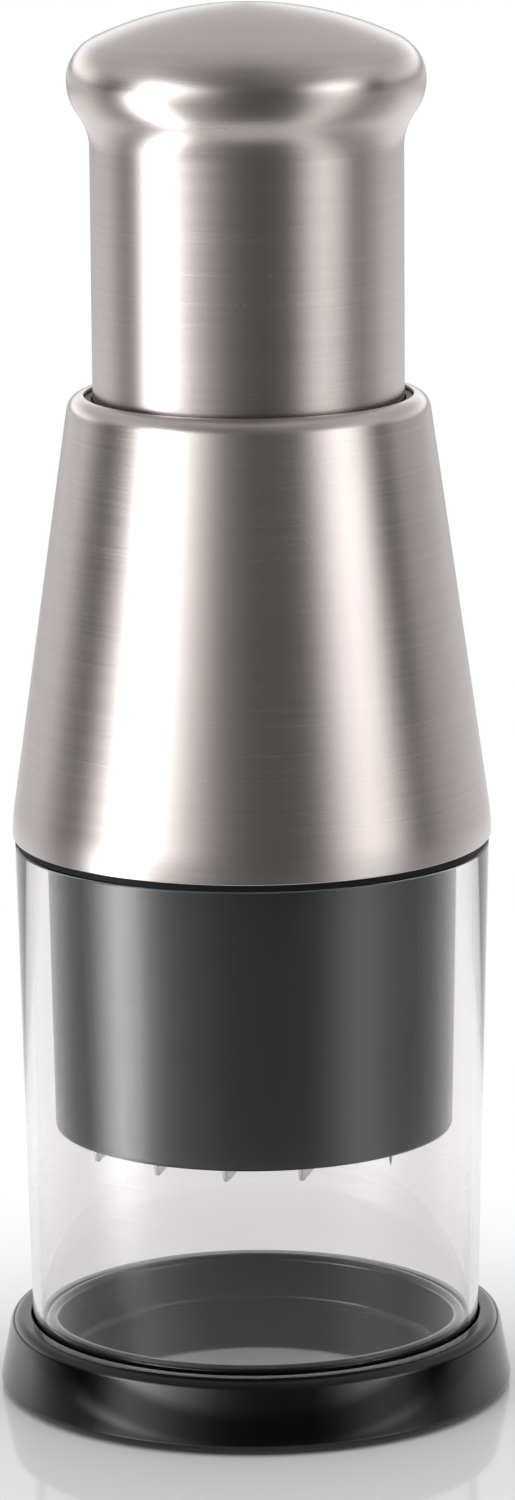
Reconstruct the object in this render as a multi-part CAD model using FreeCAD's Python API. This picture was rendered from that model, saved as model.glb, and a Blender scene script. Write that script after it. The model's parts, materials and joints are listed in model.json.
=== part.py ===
import FreeCAD, Part
import math
import os
from FreeCAD import Vector

os.makedirs("parts", exist_ok=True)

# Plunger food chopper. Millimetres and degrees. +Z is up, and the origin is the centre of the
# underside. From the table up: base cap, clear cup, blade guard hanging in the cup, steel
# housing on the cup's rim, and a sprung knob that drives a folded blade down to the dish.

# ---- Driving dimensions: base ----
foot_drop = 0.5
foot_outer_radius = 41.9
foot_width = 3.3
foot_height = 3.0
foot_edge = 0.6
cap_height = 12.6
cap_foot_radius = 44.3
cap_lean = 2.3
cap_foot_edge = 1.2
cap_crest_edge = 2.0
dish_floor = 5.0
dish_floor_thickness = 2.0
dish_floor_edge = 1.8
dish_draft = 0.6
dish_rim_width = 2.4
dish_rim_height = 13.5
dish_rim_edge = 1.1
groove_floor = 6.0
base_rib_count = 6
base_rib_width = 1.6
base_hub_radius = 6.0

# ---- Driving dimensions: cup, guard and seal ----
cup_height = 89.8
cup_foot_radius = 38.26
cup_taper = 1.31
cup_wall = 2.0
cup_edge = 0.4
cup_fit = 0.3
guard_foot_radius = 34.03
guard_taper = 1.57
guard_wall = 1.3
guard_foot_edge = 0.8
guard_lip_thickness = 1.4
guard_lip_width = 1.35
guard_flange_thickness = 2.0
guard_flange_bore = 17.0
snap_bead_height = 1.2
snap_bead_reach = 0.5
seal_thickness = 1.2
seal_recess = 0.36
seal_lip_height = 3.5

# ---- Driving dimensions: steel housing and its liner ----
cone_height = 75.5
cone_overhang = 0.34
cone_roll_height = 2.92
cone_roll_radius = 36.5
cone_lean = 8.15
cone_sheet = 0.7
mouth_roll_radius = 2.8
mouth_gap = 1.5
sheet_fit = 0.1
liner_wall = 1.8
collar_wall = 1.6
collar_gap = 0.3
rail_thickness = 1.5
boss_radius = 3.0
boss_height = 5.6
boss_web = 2.4

# ---- Driving dimensions: knob ----
knob_radius = 26.2
knob_sheet = 0.8
flare_height = 11.2
bead_radius = 29.97
shoulder_radius = 7.6
dome_radius = 60.0
flare_clearance = 3.1
core_wall = 2.0
core_step = 5.6
core_rise = 1.5
core_ceiling_thickness = 2.5
core_ceiling_drop = 18.0
core_rib_count = 6
core_rib_width = 1.6
stop_flange_reach = 2.0
stop_flange_thickness = 2.5
key_count = 3
key_width = 5.0
key_reach = 1.4
key_height = 6.4
key_gap = 0.3
post_radius = 6.4
post_root_radius = 8.0
insert_radius = 4.0
insert_length = 9.0

# ---- Driving dimensions: index mechanism ----
index_count = 12
index_clearance = 1.5
guide_bore = 12.0
guide_wall = 2.0
guide_rib_width = 2.0
guide_rib_reach = 2.0
guide_rib_slant = 1.5
guide_plate_thickness = 2.4
guide_plate_rise = 6.0
plate_rib_count = 6
plate_rib_height = 1.4
plate_rib_width = 1.6
fin_count = 6
fin_width = 3.0
fin_height = 9.0
fin_gap = 0.3
fin_root = 1.0
spindle_radius = 7.5
spindle_teeth_rise = 2.2
tooth_height = 2.0
tooth_clearance = 0.3
crown_gap = 0.3
crown_floor = 1.4
crown_height = 13.0
hex_radius = 7.4
hex_depth = 2.6

# ---- Driving dimensions: blade, carrier and wiper ----
blade_thickness = 0.5
blade_folds = 10
blade_edge_inset = 3.2
blade_turn = -15.0
blade_notch = 4.0
blade_show = 2.8
tip_clearance = 0.5
blade_gap = 0.9
blade_seat_depth = 2.1
retainer_thickness = 2.0
carrier_thickness = 3.5
carrier_radius = 31.8
carrier_rim_width = 1.6
carrier_rib_count = 6
carrier_rib_width = 1.6
carrier_rim_height = 2.4
hub_radius = 10.4
hub_height = 10.3
hub_web = 2.0
wiper_thickness = 2.0
wiper_gap = 0.3
wiper_rim_height = 1.3
wiper_rim_width = 1.2
wiper_clearance = 0.4
slot_gap = 0.35
seat_gap = 0.05

# ---- Driving dimensions: fasteners and spring ----
bolt_radius = 2.5
bolt_head_radius = 4.5
bolt_head_height = 2.6
bolt_socket_radius = 1.7
bolt_socket_depth = 1.6
bolt_running_gap = 0.08
washer_radius = 5.0
washer_thickness = 0.8
pocket_gap = 0.3
screw_count = 3
screw_radius = 1.5
screw_head_radius = 2.8
screw_head_height = 1.8
screw_circle = 30.5
screw_depth = 4.6
screw_gap = 0.05
driver_slot_width = 0.7
driver_slot_depth = 0.8
retainer_screw_radius = 0.9
retainer_screw_head_radius = 1.8
retainer_screw_head_height = 1.0
retainer_screw_length = 4.4
retainer_screw_offset = 21.0
spring_wire_radius = 0.8
spring_radius = 16.6
spring_turns = 8
spring_seat_gap = 0.4
spring_seat_wall = 1.2
spring_seat_height = 1.4

# ---- Levels and radii that follow from them ----
UP = Vector(0, 0, 1)
ORIGIN = Vector(0, 0, 0)
TINY = 1e-6


def slope(angle):
    """Sideways run per unit of height."""
    return math.tan(math.radians(angle))


def cup_radius(height):
    """Outer radius of the cup."""
    return cup_foot_radius + (height - groove_floor) * slope(cup_taper)


foot_inner_radius = foot_outer_radius - foot_width
cup_rim = groove_floor + cup_height
seal_top = cup_rim + seal_thickness
cone_foot_radius = cup_radius(cup_rim) + cone_overhang
cone_top = seal_top + cone_height
mouth_radius = knob_radius + mouth_gap
guide_plate_bottom = cup_rim + seal_thickness + guide_plate_rise
guide_plate_top = guide_plate_bottom + guide_plate_thickness
guard_flange_bottom = guide_plate_bottom - guard_flange_thickness
hub_top = guide_plate_bottom - fin_gap - tooth_clearance
carrier_bottom = hub_top - hub_height
carrier_top = carrier_bottom + carrier_thickness
retainer_bottom = carrier_bottom - retainer_thickness
wiper_stack = guard_lip_thickness + wiper_thickness + wiper_rim_height + wiper_clearance
stroke = (retainer_bottom - dish_floor - tip_clearance - blade_show - wiper_stack) / 2
blade_tip = dish_floor + tip_clearance + stroke
blade_top = carrier_bottom + blade_seat_depth
guard_foot = blade_tip + blade_show
wiper_bottom = guard_foot + guard_lip_thickness
wiper_top = wiper_bottom + wiper_thickness
wiper_rim_top = wiper_top + wiper_rim_height


def guard_radius(height):
    """Outer radius of the blade guard."""
    return guard_foot_radius + (height - guard_foot) * slope(guard_taper)


guard_lip_radius = guard_radius(wiper_bottom) - guard_wall - guard_lip_width
wiper_radius = guard_radius(wiper_bottom) - guard_wall - wiper_gap
blade_radius = guard_lip_radius - blade_gap - blade_thickness / 2
seal_bore = guard_radius(guide_plate_bottom) + seat_gap

core_low = guide_plate_top + boss_height + tip_clearance + stroke
collar_bottom = core_low + stop_flange_thickness
collar_bore = knob_radius + collar_gap
stop_flange_radius = knob_radius + stop_flange_reach
rail_bore = stop_flange_radius + key_gap
flare_start = cone_top + stroke + flare_clearance
bead_height = flare_start + flare_height
core_radius = knob_radius - knob_sheet - sheet_fit
core_ceiling = flare_start - core_ceiling_drop
shell_foot = collar_bottom + core_step

# The fins run between the ribs in mid stroke and are free of them at both of its ends.
rib_radius = guide_bore - guide_rib_reach
guide_rib_bottom = guide_plate_bottom
fin_top = guide_rib_bottom - index_clearance + stroke
fin_bottom = fin_top - fin_height
guide_rib_top = fin_bottom - fin_gap
fin_radius = guide_bore - fin_gap
tooth_root = fin_top + spindle_teeth_rise
tooth_crest = tooth_root + tooth_height
guide_top = tooth_root
index_step = 360.0 / index_count
crown_phase = index_step / 4
crown_radius = rib_radius - crown_gap
crown_tooth_low = tooth_crest + tooth_clearance
crown_bottom = crown_tooth_low + tooth_height
post_bottom = crown_bottom + crown_floor
bolt_bore = bolt_radius + bolt_running_gap
insert_top = post_bottom + insert_length

hub_socket_bottom = hub_top - hex_depth
hub_shoulder = hub_socket_bottom - hub_web
washer_bottom = hub_shoulder - washer_thickness
bolt_head_bottom = washer_bottom - bolt_head_height


def housing_wall(height, inset):
    """Radius of the housing's conical wall, drawn in by an inset, at a height."""
    rise = height - seal_top - cone_roll_height
    return cone_foot_radius - rise * slope(cone_lean) - inset / math.cos(math.radians(cone_lean))


# ---- Shapes ----
def corner_arc(before, corner, after, radius):
    """The arc of a fillet at one corner, with its two tangent points."""
    back = (before - corner).normalize()
    ahead = (after - corner).normalize()
    half = back.getAngle(ahead) / 2
    reach = radius / math.tan(half)
    start = corner + back * reach
    end = corner + ahead * reach
    inward = (back + ahead).normalize()
    middle = corner + inward * (radius / math.sin(half) - radius)
    return Part.Arc(start, middle, end).toShape(), start, end


def outline(corners):
    """A closed wire through (radius, height) corners; a third number rounds its corner."""
    points = [Vector(corner[0], 0, corner[1]) for corner in corners]
    count = len(points)
    edges = []
    ends = []
    for index, corner in enumerate(corners):
        start = end = points[index]
        if len(corner) > 2 and corner[2] > 0:
            following = points[(index + 1) % count]
            arc, start, end = corner_arc(points[index - 1], points[index], following, corner[2])
            edges.append(arc)
        ends.append((start, end))
    for index in range(count):
        leave = ends[index][1]
        arrive = ends[(index + 1) % count][0]
        if leave.distanceToPoint(arrive) > TINY:
            edges.append(Part.makeLine(leave, arrive))
    return Part.Wire(Part.__sortEdges__(edges))


def spun(wire):
    """The solid that a closed section sweeps round the Z axis."""
    return Part.Face(wire).revolve(ORIGIN, UP, 360)


def turned(corners):
    """A turned solid from its section's corners."""
    return spun(outline(corners))


def disc(radius, bottom, top):
    """A plain cylinder on the axis."""
    return Part.makeCylinder(radius, top - bottom, Vector(0, 0, bottom))


def ring(inner, outer, bottom, top):
    """A plain ring on the axis."""
    return disc(outer, bottom, top).cut(disc(inner, bottom, top))


def bar(inner, outer, width, bottom, top, offset=0.0):
    """A block that runs out along +X, centred on Y = offset."""
    corner = Vector(inner, offset - width / 2, bottom)
    return Part.makeBox(outer - inner, width, top - bottom, corner)


def turn(shape, angle):
    """A copy of a shape, turned about the Z axis."""
    copy = shape.copy()
    copy.rotate(ORIGIN, UP, angle)
    return copy


def around(shape, count, first=0.0):
    """Copies of a shape spread evenly round the Z axis."""
    return [turn(shape, first + index * 360.0 / count) for index in range(count)]


def turned_point(point, angle):
    """A point turned about the Z axis."""
    return FreeCAD.Rotation(UP, angle).multVec(point)


def rod(radius, bottom, top, place=ORIGIN):
    """A cylinder parallel to the Z axis, over a place in the plan."""
    return Part.makeCylinder(radius, top - bottom, place + UP * bottom)


def joined(shapes):
    """One solid from shapes that touch or overlap."""
    return shapes[0].multiFuse(shapes[1:]).removeSplitter()


# ---- Base ----
def base_cap():
    groove_outer = cup_radius(cap_height) + cup_fit
    groove_inner = cup_foot_radius - cup_wall - cup_fit
    dish_radius = groove_inner - dish_rim_width
    blank = turned([
        (0, foot_drop),
        (cap_foot_radius, foot_drop, cap_foot_edge),
        (cap_foot_radius - cap_lean, cap_height, cap_crest_edge),
        (groove_outer, cap_height),
        (groove_outer, groove_floor),
        (groove_inner, groove_floor),
        (groove_inner, dish_rim_height, dish_rim_edge),
        (dish_radius, dish_rim_height, dish_rim_edge),
        (dish_radius - dish_draft, dish_floor, dish_floor_edge),
        (0, dish_floor),
    ])
    recess_top = dish_floor - dish_floor_thickness
    recess_radius = groove_inner - dish_floor_thickness
    recess = disc(recess_radius, 0, recess_top)
    channel = ring(foot_inner_radius, foot_outer_radius, 0, foot_height)
    rib_bottom = foot_drop + foot_edge
    rib = bar(0, recess_radius + foot_edge, base_rib_width, rib_bottom, recess_top + foot_edge)
    hub = disc(base_hub_radius, rib_bottom, recess_top + foot_edge)
    body = blank.cut(recess).cut(channel)
    return joined([body, hub] + around(rib, base_rib_count))


def foot_ring():
    return turned([
        (foot_inner_radius, 0, foot_edge),
        (foot_outer_radius, 0, foot_edge),
        (foot_outer_radius, foot_height),
        (foot_inner_radius, foot_height),
    ])


# ---- Cup and seal ----
def clear_cup():
    return turned([
        (cup_foot_radius - cup_wall, groove_floor),
        (cup_foot_radius, groove_floor, cup_edge),
        (cup_radius(cup_rim), cup_rim, cup_edge),
        (cup_radius(cup_rim) - cup_wall, cup_rim, cup_edge),
    ])


def seal_ring():
    seal_radius = cone_foot_radius - seal_recess
    lip_top = seal_top + seal_lip_height
    lip_radius = housing_wall(lip_top, cone_sheet + sheet_fit + liner_wall + seat_gap)
    return turned([
        (seal_bore, cup_rim),
        (seal_radius, cup_rim, seal_recess),
        (seal_radius, seal_top),
        (lip_radius, seal_top),
        (lip_radius, lip_top),
        (seal_bore, lip_top),
    ])


# ---- Blade guard ----
def guard_section(inset, bottom, top):
    """Solid cone of the guard's outer form, drawn in by an inset."""
    return turned([
        (0, bottom),
        (guard_radius(bottom) - inset, bottom),
        (guard_radius(top) - inset, top),
        (0, top),
    ])


def screw_holes(radius, bottom, top):
    """The housing screws' holes, as solids to cut away."""
    hole = rod(radius, bottom, top, Vector(screw_circle, 0, 0))
    return around(hole, screw_count, 180.0 / screw_count)


def blade_guard():
    outer = turned([
        (0, guard_foot),
        (guard_foot_radius, guard_foot, guard_foot_edge),
        (guard_radius(guide_plate_bottom), guide_plate_bottom),
        (0, guide_plate_bottom),
    ])
    inside = guard_section(guard_wall, wiper_bottom, guard_flange_bottom)
    mouth = disc(guard_lip_radius, guard_foot, wiper_bottom)
    bore = disc(guard_flange_bore, guard_flange_bottom, guide_plate_bottom)
    bead_bottom = wiper_rim_top + wiper_gap
    bead_top = bead_bottom + snap_bead_height
    bead_inner = guard_radius(bead_bottom) - guard_wall - snap_bead_reach
    bead = turned([
        (bead_inner, (bead_bottom + bead_top) / 2),
        (bead_inner + snap_bead_reach + guard_wall / 2, bead_bottom),
        (bead_inner + snap_bead_reach + guard_wall / 2, bead_top),
    ])
    body = outer.cut(inside).cut(mouth).cut(bore).fuse(bead)
    for hole in screw_holes(screw_radius + screw_gap, guard_flange_bottom, guide_plate_bottom):
        body = body.cut(hole)
    return body


# ---- Steel housing and liner ----
def housing_form(inset, below=0.0):
    """The housing's outer form drawn in by an inset, as a solid."""
    lean = math.radians(cone_lean)
    wall_radius = cone_foot_radius - inset
    corner_rise = cone_roll_height - inset * math.tan(lean / 2)
    corner_height = seal_top + corner_rise
    top = cone_top - inset
    top_radius = wall_radius - (top - corner_height) * math.tan(lean)
    return turned([
        (0, seal_top - below),
        (wall_radius, seal_top - below),
        (wall_radius, corner_height, cone_roll_radius - inset),
        (top_radius, top, max(mouth_roll_radius - inset, 0)),
        (0, top),
    ])


def cone_shell():
    mouth = disc(mouth_radius, seal_top, cone_top)
    return housing_form(0).cut(housing_form(cone_sheet, 1.0)).cut(mouth)


def housing_liner():
    skin = cone_sheet + sheet_fit
    form = housing_form(skin)
    wall = form.cut(housing_form(skin + liner_wall, 1.0))
    liner_top = cone_top - skin
    collar = ring(collar_bore, collar_bore + collar_wall, collar_bottom, liner_top)
    rail_offset = key_width / 2 + key_gap + rail_thickness / 2
    rail_bottom = guide_plate_top + plate_rib_height
    features = [collar]
    for side in (rail_offset, -rail_offset):
        rail = bar(rail_bore, cone_foot_radius, rail_thickness, rail_bottom, collar_bottom, side)
        features.extend(around(rail, key_count))
    boss_top = guide_plate_top + boss_height
    boss = rod(boss_radius, guide_plate_top, boss_top, Vector(screw_circle, 0, 0))
    web = bar(screw_circle, cone_foot_radius, boss_web, guide_plate_top, boss_top)
    features.extend(around(boss.fuse(web), screw_count, 180.0 / screw_count))
    body = joined([wall] + [feature.common(form) for feature in features])
    body = body.cut(disc(collar_bore, collar_bottom, cone_top))
    for hole in screw_holes(screw_radius + screw_gap, guide_plate_top, guide_plate_top + screw_depth):
        body = body.cut(hole)
    return body


def housing_screws():
    """The screws that hold guard and guide plate to the liner's bosses."""
    head_bottom = guard_flange_bottom - screw_head_height
    shank_top = guide_plate_top + screw_depth
    head = rod(screw_head_radius, head_bottom, guard_flange_bottom)
    shank = rod(screw_radius, guard_flange_bottom, shank_top)
    cross = [
        bar(-screw_head_radius / 2, screw_head_radius / 2, driver_slot_width,
            head_bottom, head_bottom + driver_slot_depth),
    ]
    cross.append(turn(cross[0], 90))
    screw = head.fuse(shank).cut(cross[0]).cut(cross[1])
    screw.translate(Vector(screw_circle, 0, 0))
    return Part.makeCompound(around(screw, screw_count, 180.0 / screw_count))


# ---- Knob ----
def knob_edges(inset):
    """The knob's section from the shell's foot to the crown, drawn in by an inset."""
    swell = bead_radius - knob_radius
    turn_angle = 2 * math.atan(swell / flare_height)
    flare_radius = flare_height / (2 * math.sin(turn_angle))
    outside = Vector(knob_radius + flare_radius, 0, flare_start)
    inside = Vector(bead_radius - flare_radius, 0, bead_height)
    shoulder = Vector(bead_radius - shoulder_radius, 0, bead_height)
    dome_drop = math.sqrt((dome_radius - shoulder_radius) ** 2 - shoulder.x ** 2)
    dome = Vector(0, 0, bead_height - dome_drop)
    meet = math.atan2(dome_drop, shoulder.x)

    def arc(centre, radius, first, last):
        stops = (first, (first + last) / 2, last)
        points = [centre + Vector(radius * math.cos(a), 0, radius * math.sin(a)) for a in stops]
        return Part.Arc(*points).toShape()

    foot = Vector(knob_radius - inset, 0, shell_foot)
    flare_foot = Vector(knob_radius - inset, 0, flare_start)
    return [
        Part.makeLine(foot, flare_foot),
        arc(outside, flare_radius + inset, math.pi, math.pi - turn_angle),
        arc(inside, flare_radius - inset, -turn_angle, 0),
        arc(shoulder, shoulder_radius - inset, 0, meet),
        arc(dome, dome_radius - inset, meet, math.pi / 2),
    ]


def knob_shell():
    outer = knob_edges(0)
    inner = knob_edges(knob_sheet)
    foot = Part.makeLine(outer[0].Vertexes[0].Point, inner[0].Vertexes[0].Point)
    crown = Part.makeLine(outer[-1].Vertexes[-1].Point, inner[-1].Vertexes[-1].Point)
    return spun(Part.Wire(Part.__sortEdges__(outer + inner + [foot, crown])))


def knob_core():
    core_bore = core_radius - core_wall
    core_top = flare_start + core_rise
    tube = turned([
        (core_bore, core_low),
        (stop_flange_radius, core_low),
        (stop_flange_radius, collar_bottom),
        (knob_radius, collar_bottom),
        (knob_radius, shell_foot),
        (core_radius, shell_foot),
        (core_radius, core_top),
        (core_bore, core_top),
    ])
    ceiling_top = core_ceiling + core_ceiling_thickness
    ceiling = disc(core_radius - core_wall / 2, core_ceiling, ceiling_top)
    post = turned([
        (0, post_bottom),
        (post_radius, post_bottom),
        (post_root_radius, core_ceiling),
        (post_root_radius, ceiling_top),
        (0, ceiling_top),
    ])
    rib = bar(0, core_bore + core_wall / 2, core_rib_width, ceiling_top, core_top)
    key = bar(core_radius, stop_flange_radius + key_reach, key_width,
              collar_bottom - key_height, collar_bottom)
    solids = [tube, ceiling, post] + around(rib, core_rib_count) + around(key, key_count)
    insert_hole = disc(insert_radius + screw_gap, post_bottom, insert_top)
    bolt_hole = disc(bolt_radius + screw_gap, insert_top, insert_top + insert_radius)
    return joined(solids).cut(insert_hole).cut(bolt_hole)


def threaded_insert():
    return ring(bolt_radius + screw_gap, insert_radius, post_bottom, insert_top)


# ---- Index mechanism ----
def slanted_block(inner, outer, width, bottom, top, low_slant, high_slant):
    """A radial block whose lower end is cut away by a slant, and its upper end by another.

    A slant above zero cuts the side that leads round the axis, and one below it the other side.
    """
    half = width / 2
    corners = [
        Vector(inner, -half, bottom + max(-low_slant, 0)),
        Vector(inner, half, bottom + max(low_slant, 0)),
        Vector(inner, half, top - max(high_slant, 0)),
        Vector(inner, -half, top - max(-high_slant, 0)),
    ]
    face = Part.Face(Part.makePolygon(corners + corners[:1]))
    return face.extrude(Vector(outer - inner, 0, 0))


def tooth(inner, outer, root):
    """One ratchet tooth: a wedge that rises over one index step."""
    step = math.radians(index_step)

    def triangle(radius):
        start = Vector(radius, 0, root)
        end = Vector(radius * math.cos(step), radius * math.sin(step), root)
        crest = end + Vector(0, 0, tooth_height)
        return Part.makePolygon([start, end, crest, start])

    return Part.makeLoft([triangle(inner), triangle(outer)], True, True)


def toothed_end(bore, radius, root):
    """A full ring of ratchet teeth, trimmed to its bore and its radius."""
    inner = bore / 2
    outer = radius / math.cos(math.radians(index_step / 2)) + tooth_clearance
    teeth = joined(around(tooth(inner, outer, root), index_count))
    return teeth.common(ring(bore, radius, root, root + tooth_height))


def index_crown():
    body = disc(crown_radius, crown_tooth_low, crown_bottom + crown_height)
    socket = turned([
        (0, post_bottom),
        (post_radius + seat_gap, post_bottom),
        (post_root_radius + seat_gap, core_ceiling),
        (0, core_ceiling),
    ])
    bore = disc(bolt_bore, crown_tooth_low, post_bottom)
    mate = toothed_end(bolt_bore, crown_radius + crown_gap, crown_tooth_low)
    return body.cut(socket).cut(bore).cut(turn(mate, crown_phase))


def index_spindle():
    shaft = disc(spindle_radius, hub_top, tooth_root)
    spigot = hexagon(hex_radius, hub_socket_bottom, hub_top)
    teeth = toothed_end(bolt_bore, spindle_radius, tooth_root)
    fin = slanted_block(spindle_radius - fin_root, fin_radius, fin_width, fin_bottom, fin_top,
                        -guide_rib_slant, -guide_rib_slant)
    body = joined([shaft, spigot, teeth] + around(fin, fin_count))
    return body.cut(disc(bolt_bore, hub_socket_bottom, tooth_crest))


def hexagon(radius, bottom, top):
    """A hexagonal prism on the axis."""
    points = []
    for index in range(7):
        angle = math.radians(60 * index)
        points.append(Vector(radius * math.cos(angle), radius * math.sin(angle), bottom))
    return Part.Face(Part.makePolygon(points)).extrude(Vector(0, 0, top - bottom))


def guide_plate():
    plate_radius = housing_wall(guide_plate_top, cone_sheet + sheet_fit + liner_wall + seat_gap)
    plate = disc(plate_radius, guide_plate_bottom, guide_plate_top)
    tube_radius = guide_bore + guide_wall
    tube = disc(tube_radius, guide_plate_bottom, guide_top)
    seat_inner = spring_radius + spring_wire_radius + spring_seat_gap
    seat_outer = seat_inner + spring_seat_wall
    seat = ring(seat_inner, seat_outer, guide_plate_top, guide_plate_top + spring_seat_height)
    stiffener = bar(seat_inner, plate_radius - 2 * guide_wall, plate_rib_width,
                    guide_plate_top, guide_plate_top + plate_rib_height)
    stiffeners = around(stiffener, plate_rib_count, 180.0 / plate_rib_count)
    bore = disc(guide_bore, guide_plate_bottom, guide_top)
    rib = slanted_block(rib_radius, guide_bore + guide_wall / 2, guide_rib_width,
                        guide_rib_bottom, guide_rib_top, guide_rib_slant, guide_rib_slant)
    ribs = around(rib, index_count, index_step / 2)
    body = joined([plate, tube, seat] + stiffeners).cut(bore)
    body = joined([body] + ribs)
    for hole in screw_holes(screw_radius + screw_gap, guide_plate_bottom, guide_plate_top):
        body = body.cut(hole)
    return body


# ---- Blade, carrier and wiper ----
def folds():
    """Plan positions of the strip's folds, from one end to the other, back first."""
    reach = blade_radius - blade_edge_inset
    pitch = 2 * reach / (blade_folds - 1)
    points = []
    for index in range(blade_folds):
        x = index * pitch - reach
        side = 1 if index % 2 == 0 else -1
        points.append(Vector(x, side * math.sqrt(blade_radius ** 2 - x ** 2), 0))
    return points


def zigzag_block(half_width, bottom, top):
    """The folded strip's plan, thickened to each side, as an upright solid."""
    plan = Part.makePolygon(folds()).makeOffset2D(half_width, 0, True)
    plan.translate(Vector(0, 0, bottom))
    return turn(plan.extrude(Vector(0, 0, top - bottom)), blade_turn)


def blade_notches():
    """Wedges that slope the strip's lower edge up from each fold to the middle of its leg."""
    points = folds()
    notches = []
    for start, end in zip(points, points[1:]):
        run = end - start
        corners = [
            Vector(blade_thickness, -blade_thickness, blade_tip),
            Vector(run.Length / 2, -blade_thickness, blade_tip + blade_notch),
            Vector(run.Length - blade_thickness, -blade_thickness, blade_tip),
        ]
        face = Part.Face(Part.makePolygon(corners + corners[:1]))
        notch = face.extrude(Vector(0, 2 * blade_thickness, 0))
        notch.rotate(ORIGIN, UP, math.degrees(math.atan2(run.y, run.x)))
        notch.translate(start)
        notches.append(turn(notch, blade_turn))
    return notches


def folded_blade():
    body = zigzag_block(blade_thickness / 2, blade_tip, blade_top)
    for notch in blade_notches():
        body = body.cut(notch)
    return body


def retainer_screw_places():
    """Plan positions that lie midway between two legs of the strip, turned with it."""
    pitch = 2 * (blade_radius - blade_edge_inset) / (blade_folds - 1)
    first = Vector(3.5 * pitch, 0, 0)
    second = Vector(pitch / 2, retainer_screw_offset, 0)
    return [turned_point(place, blade_turn) for place in (first, second, -first, -second)]


def blade_carrier():
    plate = disc(carrier_radius, carrier_bottom, carrier_top)
    hub = disc(hub_radius, carrier_bottom, hub_top)
    rim_top = carrier_top + carrier_rim_height
    rim = ring(carrier_radius - carrier_rim_width, carrier_radius, carrier_bottom, rim_top)
    rib = bar(0, carrier_radius - carrier_rim_width / 2, carrier_rib_width, carrier_bottom, rim_top)
    body = joined([plate, hub, rim] + around(rib, carrier_rib_count))
    body = body.cut(hexagon(hex_radius + seat_gap, hub_socket_bottom, hub_top))
    body = body.cut(disc(bolt_bore, hub_shoulder, hub_socket_bottom))
    body = body.cut(disc(washer_radius + pocket_gap, carrier_bottom, hub_shoulder))
    body = body.cut(zigzag_block(blade_thickness / 2 + seat_gap, carrier_bottom, blade_top))
    hole_top = retainer_bottom + retainer_screw_length
    for place in retainer_screw_places():
        body = body.cut(rod(retainer_screw_radius + screw_gap, carrier_bottom, hole_top, place))
    return body


def blade_retainer():
    body = disc(carrier_radius, retainer_bottom, carrier_bottom)
    body = body.cut(zigzag_block(blade_thickness / 2 + seat_gap, retainer_bottom, carrier_bottom))
    head_top = retainer_bottom + retainer_screw_head_height
    for place in retainer_screw_places():
        head = rod(retainer_screw_head_radius + screw_gap, retainer_bottom, head_top, place)
        hole = rod(retainer_screw_radius + screw_gap, head_top, carrier_bottom, place)
        body = body.cut(head).cut(hole)
    return body


def retainer_screws():
    """The small screws that clamp the strip between retainer and carrier."""
    head_top = retainer_bottom + retainer_screw_head_height
    screws = []
    for place in retainer_screw_places():
        head = rod(retainer_screw_head_radius, retainer_bottom, head_top)
        shank = rod(retainer_screw_radius, head_top, retainer_bottom + retainer_screw_length)
        slot = bar(-retainer_screw_radius, retainer_screw_radius, driver_slot_width / 2,
                   retainer_bottom, retainer_bottom + driver_slot_depth / 2)
        screw = head.fuse(shank).cut(slot).cut(turn(slot, 90))
        screw.translate(place)
        screws.append(screw)
    return Part.makeCompound(screws)


def wiper_disc():
    rim_inner = wiper_radius - wiper_rim_width
    body = turned([
        (0, wiper_bottom),
        (wiper_radius, wiper_bottom),
        (wiper_radius, wiper_rim_top),
        (rim_inner, wiper_rim_top),
        (rim_inner, wiper_top),
        (0, wiper_top),
    ])
    return body.cut(zigzag_block(blade_thickness / 2 + slot_gap, wiper_bottom, wiper_top))


# ---- Axle and spring ----
def axle_bolt():
    head = disc(bolt_head_radius, bolt_head_bottom, washer_bottom)
    shank = disc(bolt_radius, washer_bottom, insert_top)
    socket = hexagon(bolt_socket_radius, bolt_head_bottom, bolt_head_bottom + bolt_socket_depth)
    return head.fuse(shank).cut(socket)


def axle_washer():
    return ring(bolt_bore, washer_radius, washer_bottom, hub_shoulder)


def return_spring():
    bottom = guide_plate_top + spring_wire_radius
    height = core_ceiling - spring_wire_radius - bottom
    path = Part.makeHelix(height / spring_turns, height, spring_radius)
    path.translate(Vector(0, 0, bottom))
    start = Vector(spring_radius, 0, bottom)
    circle = Part.Circle(start, Vector(0, 1, 0), spring_wire_radius).toShape()
    return Part.Wire(path).makePipeShell([Part.Wire(circle)], True, True)


PIECES = {
    "base_cap": base_cap,
    "foot_ring": foot_ring,
    "clear_cup": clear_cup,
    "seal_ring": seal_ring,
    "blade_guard": blade_guard,
    "cone_shell": cone_shell,
    "housing_liner": housing_liner,
    "housing_screws": housing_screws,
    "guide_plate": guide_plate,
    "knob_shell": knob_shell,
    "knob_core": knob_core,
    "index_crown": index_crown,
    "threaded_insert": threaded_insert,
    "axle_bolt": axle_bolt,
    "axle_washer": axle_washer,
    "return_spring": return_spring,
    "index_spindle": index_spindle,
    "blade_carrier": blade_carrier,
    "blade_retainer": blade_retainer,
    "retainer_screws": retainer_screws,
    "folded_blade": folded_blade,
    "wiper_disc": wiper_disc,
}

for name, make in PIECES.items():
    shape = make()
    shape.exportStep("parts/" + name + ".step")

print("stroke", round(stroke, 2), "blade tip", round(blade_tip, 2), "flare", round(flare_start, 2))
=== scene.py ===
"""Plunger food chopper: looks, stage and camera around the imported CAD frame."""

import json
import math

import bpy
from mathutils import Euler, Matrix, Vector


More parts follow.
